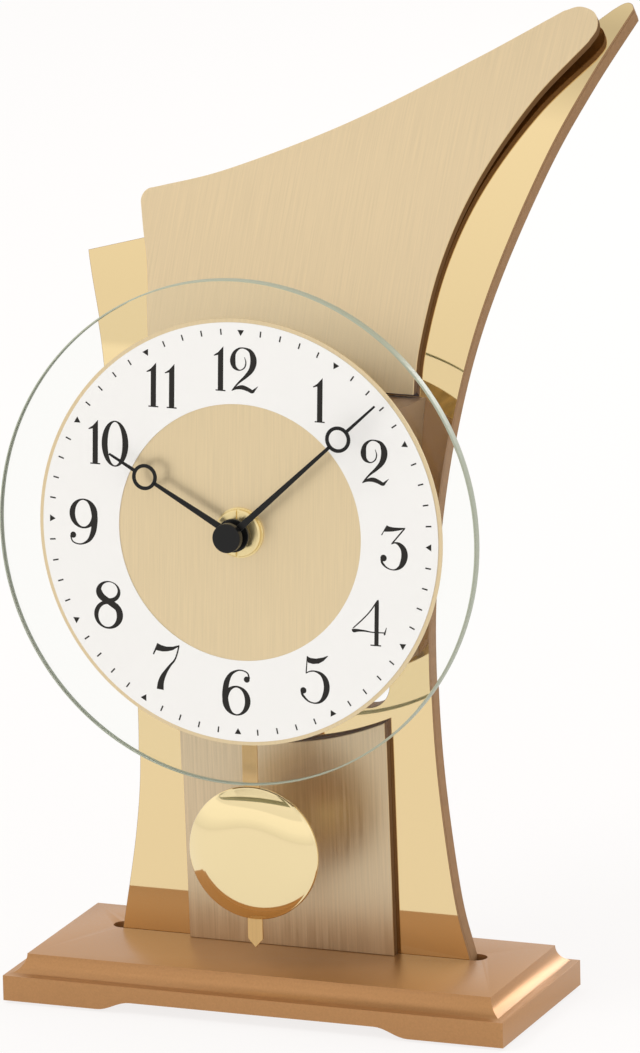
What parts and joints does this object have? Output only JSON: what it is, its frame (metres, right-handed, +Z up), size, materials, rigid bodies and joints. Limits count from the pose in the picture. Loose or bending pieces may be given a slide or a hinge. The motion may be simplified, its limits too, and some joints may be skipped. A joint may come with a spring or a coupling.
{
  "type": "desk_pendulum_clock",
  "caption": "Free-standing desk clock: glass dial disc and swinging pendulum in front of a bent gold mirror sail on a bronze plinth",
  "frame": {"origin": "on the table, under the middle of the whole clock", "axes": "+Z up, +X right seen from the front, the dial looks towards -Y"},
  "size_m": [0.1839, 0.1456, 0.3275],
  "materials": {
    "bronze_paint": "satin",
    "edge_paint": "satin",
    "gold_mirror": "polished",
    "champagne_brushed": "brushed",
    "bronze_brushed": "brushed",
    "silver_dial": "brushed",
    "gold_dial": "brushed",
    "clear_glass": "polished",
    "polished_brass": "polished",
    "black_satin": "satin",
    "white_plastic": "satin",
    "black_plastic": "satin",
    "steel": "satin",
    "copper_wire": "satin",
    "green_board": "satin",
    "battery_wrap": "satin",
    "black_rubber": "matte",
    "grey_felt": "matte"
  },
  "bodies": {
    "clock": {"base_plinth": "bronze_paint", "felt_pads": "grey_felt", "back_board": "edge_paint", "back_mirror": "gold_mirror", "board_screws": "steel", "upper_board": "edge_paint", "upper_skin": "champagne_brushed", "lower_board": "edge_paint", "lower_skin": "bronze_brushed", "panel_screws": "steel", "box_frame": "bronze_paint", "box_front": "bronze_paint", "box_screws": "steel", "glass_disc": "clear_glass", "dial_plate": "gold_dial", "chapter_ring": "silver_dial", "hub_nut": "polished_brass", "rubber_washer": "black_rubber", "centre_bush": "polished_brass", "movement_case": "white_plastic", "movement_cover": "white_plastic", "battery": "battery_wrap", "battery_contacts": "steel", "circuit_board": "green_board", "quartz_crystal": "steel", "step_coil": "copper_wire", "stator": "steel", "drive_case": "white_plastic", "drive_coil": "copper_wire", "pivot_pin": "steel"},
    "minute_work": {"minute_shaft": "steel", "minute_hand": "black_satin", "hand_cap": "black_satin"},
    "minute_gear": {"minute_wheel": "white_plastic"},
    "hour_work": {"hour_wheel": "white_plastic", "hour_hand": "black_satin"},
    "knob": {"setting_knob": "black_plastic"},
    "centre_gear": {"centre_wheel": "white_plastic"},
    "third_gear": {"third_wheel": "white_plastic"},
    "second_gear": {"second_wheel": "white_plastic"},
    "step_gear": {"step_wheel": "white_plastic"},
    "rotor": {"step_rotor": "black_plastic"},
    "pendulum": {"pendulum_leader": "black_plastic", "leader_magnet": "steel", "pendulum_rod": "bronze_brushed", "bob_shell": "polished_brass", "bob_back": "polished_brass"}
  },
  "joints": [
    {"name": "minute_turn", "type": "hinge", "parent": "clock", "child": "minute_work", "pos_m": [-0.004, -0.04535, 0.1677], "axis": [0, 0.9968, -0.0802], "continuous": true},
    {"name": "minute_wheel_turn", "type": "hinge", "parent": "clock", "child": "minute_gear", "pos_m": [0.008, -0.04535, 0.1677], "axis": [0, 0.9968, -0.0802], "continuous": true},
    {"name": "hour_turn", "type": "hinge", "parent": "clock", "child": "hour_work", "pos_m": [-0.004, -0.04535, 0.1677], "axis": [0, 0.9968, -0.0802], "continuous": true},
    {"name": "knob_turn", "type": "hinge", "parent": "clock", "child": "knob", "pos_m": [0.014, -0.04451, 0.17806], "axis": [0, 0.9968, -0.0802], "continuous": true},
    {"name": "second_wheel_turn", "type": "hinge", "parent": "clock", "child": "second_gear", "pos_m": [-0.00986, -0.04415, 0.18263], "axis": [0, 0.9968, -0.0802], "continuous": true},
    {"name": "third_wheel_turn", "type": "hinge", "parent": "clock", "child": "third_gear", "pos_m": [-0.01335, -0.04491, 0.17308], "axis": [0, 0.9968, -0.0802], "continuous": true},
    {"name": "centre_wheel_turn", "type": "hinge", "parent": "clock", "child": "centre_gear", "pos_m": [-0.004, -0.04535, 0.1677], "axis": [0, 0.9968, -0.0802], "continuous": true},
    {"name": "step_wheel_turn", "type": "hinge", "parent": "clock", "child": "step_gear", "pos_m": [0.00089, -0.04422, 0.18169], "axis": [0, 0.9968, -0.0802], "continuous": true},
    {"name": "rotor_turn", "type": "hinge", "parent": "clock", "child": "rotor", "pos_m": [0.00832, -0.04363, 0.1891], "axis": [0, 0.9968, -0.0802], "continuous": true},
    {"name": "pendulum_swing", "type": "hinge", "parent": "clock", "child": "pendulum", "pos_m": [-0.004, -0.053, 0.1355], "axis": [0, 1, 0], "range_deg": [-6, 6]}
  ],
  "couplings": [
    {"joint": "minute_wheel_turn", "follows": "minute_turn", "ratio": -0.33333},
    {"joint": "hour_turn", "follows": "minute_turn", "ratio": 0.083333},
    {"joint": "knob_turn", "follows": "minute_turn", "ratio": 1},
    {"joint": "third_wheel_turn", "follows": "centre_wheel_turn", "ratio": -8},
    {"joint": "second_wheel_turn", "follows": "centre_wheel_turn", "ratio": 60},
    {"joint": "step_wheel_turn", "follows": "centre_wheel_turn", "ratio": -300},
    {"joint": "rotor_turn", "follows": "centre_wheel_turn", "ratio": 1800}
  ]
}
